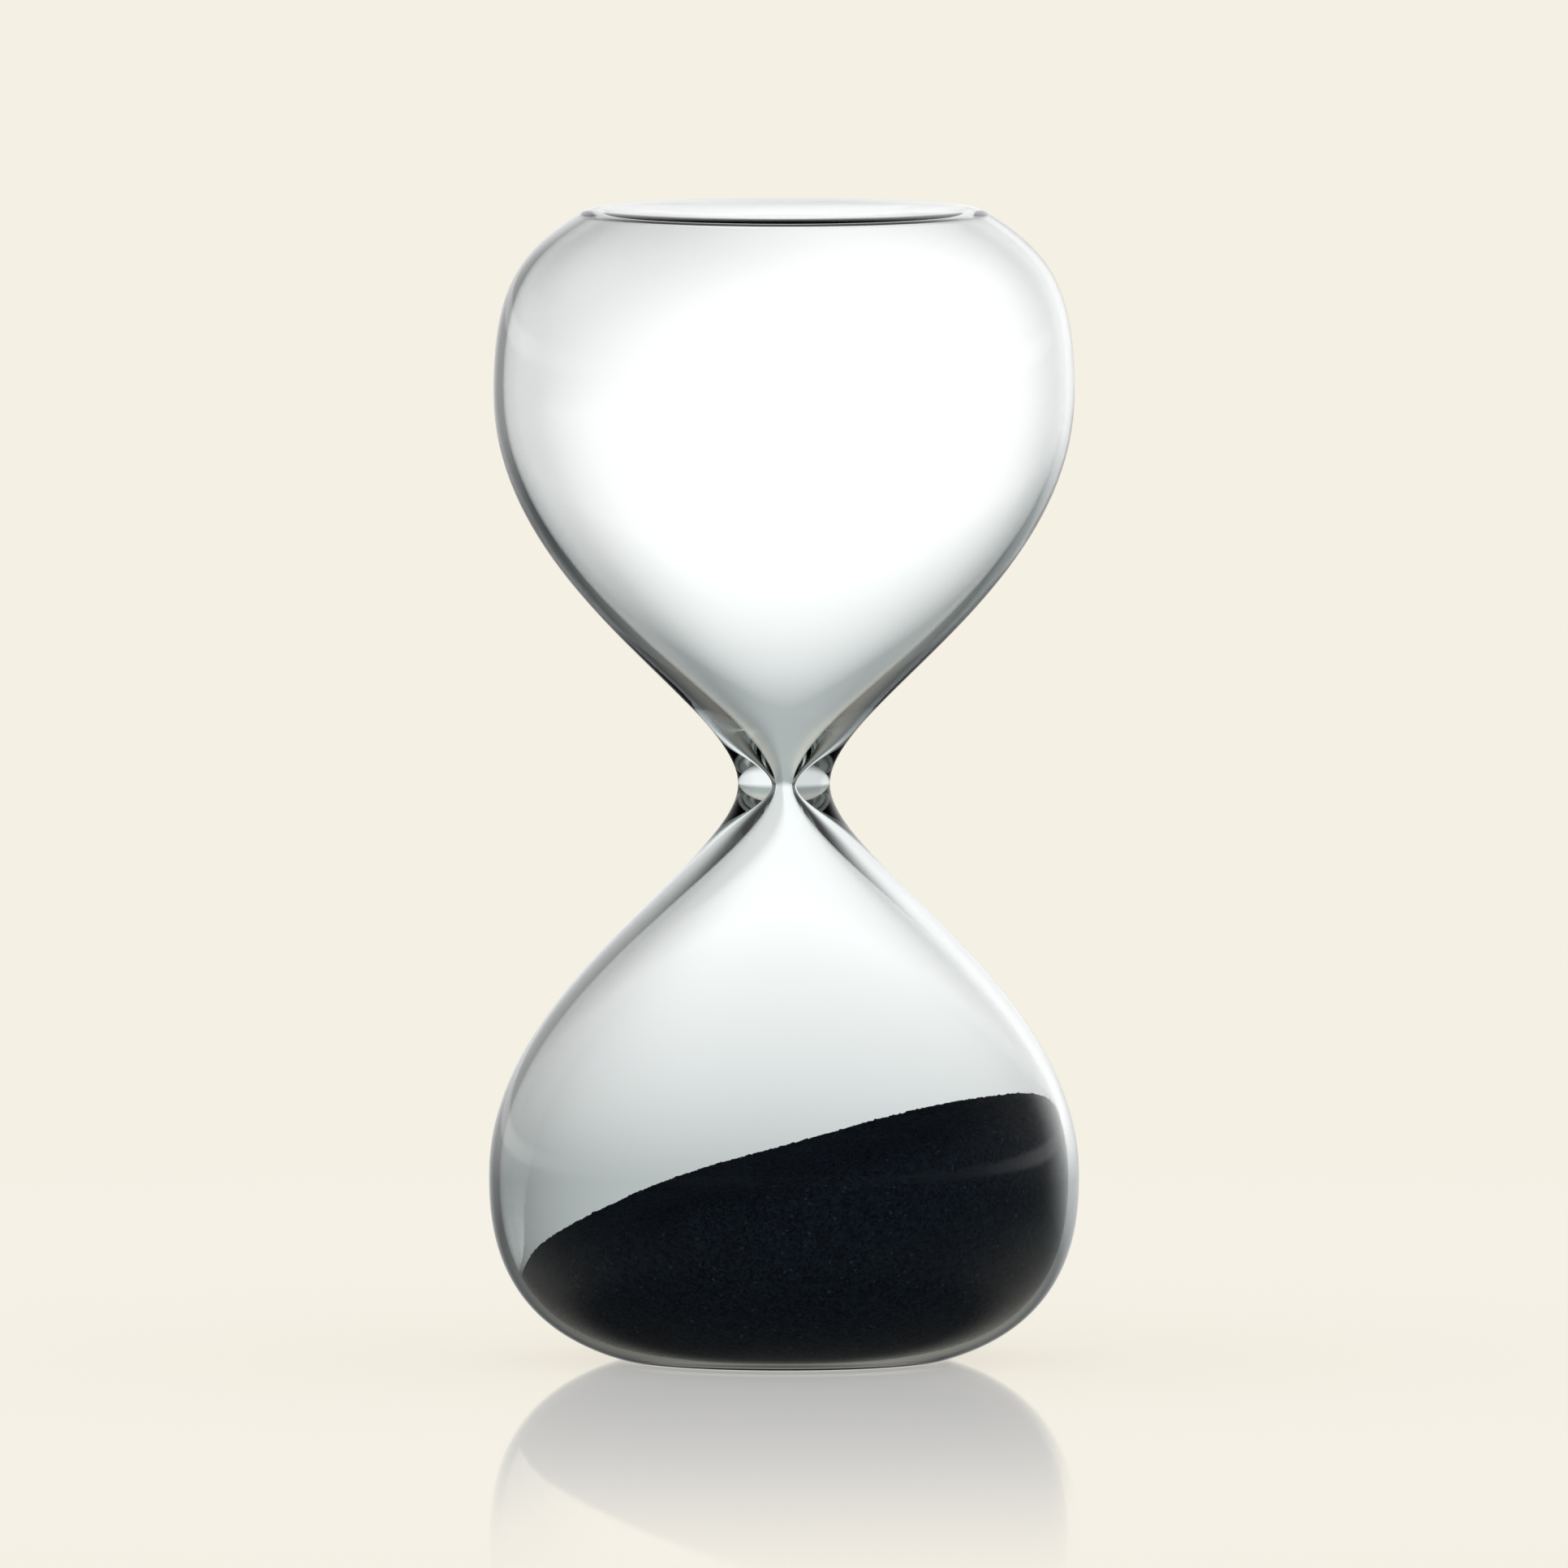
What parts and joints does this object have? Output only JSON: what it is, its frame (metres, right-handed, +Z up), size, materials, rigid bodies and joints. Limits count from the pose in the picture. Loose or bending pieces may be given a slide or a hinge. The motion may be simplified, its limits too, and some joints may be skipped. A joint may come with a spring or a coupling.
{
  "type": "hourglass",
  "caption": "Frameless sand glass: blown clear bulbs joined at a narrow bored throat, with a plugged filling hole and a leaning heap of black sand.",
  "frame": {"origin": "middle of the face that the hourglass stands on, on the axis of the bulbs", "axes": "+Z up along the axis of both bulbs; +X towards the high side of the sand heap; +Y away from the viewer"},
  "size_m": [0.0758, 0.0758, 0.148],
  "materials": {
    "clear_glass": "polished",
    "clear_cement": "satin",
    "black_sand": "matte"
  },
  "bodies": {
    "glass": {"upper_bulb": "clear_glass", "throat": "clear_glass", "lower_bulb": "clear_glass", "fill_stopper": "clear_glass", "stopper_seal": "clear_cement"},
    "sand": {"sand": "black_sand"}
  },
  "joints": [
    {"name": "sand_swirl", "type": "hinge", "parent": "glass", "child": "sand", "pos_m": [0, 0, 0.02], "axis": [0, 0, 1], "continuous": true}
  ]
}
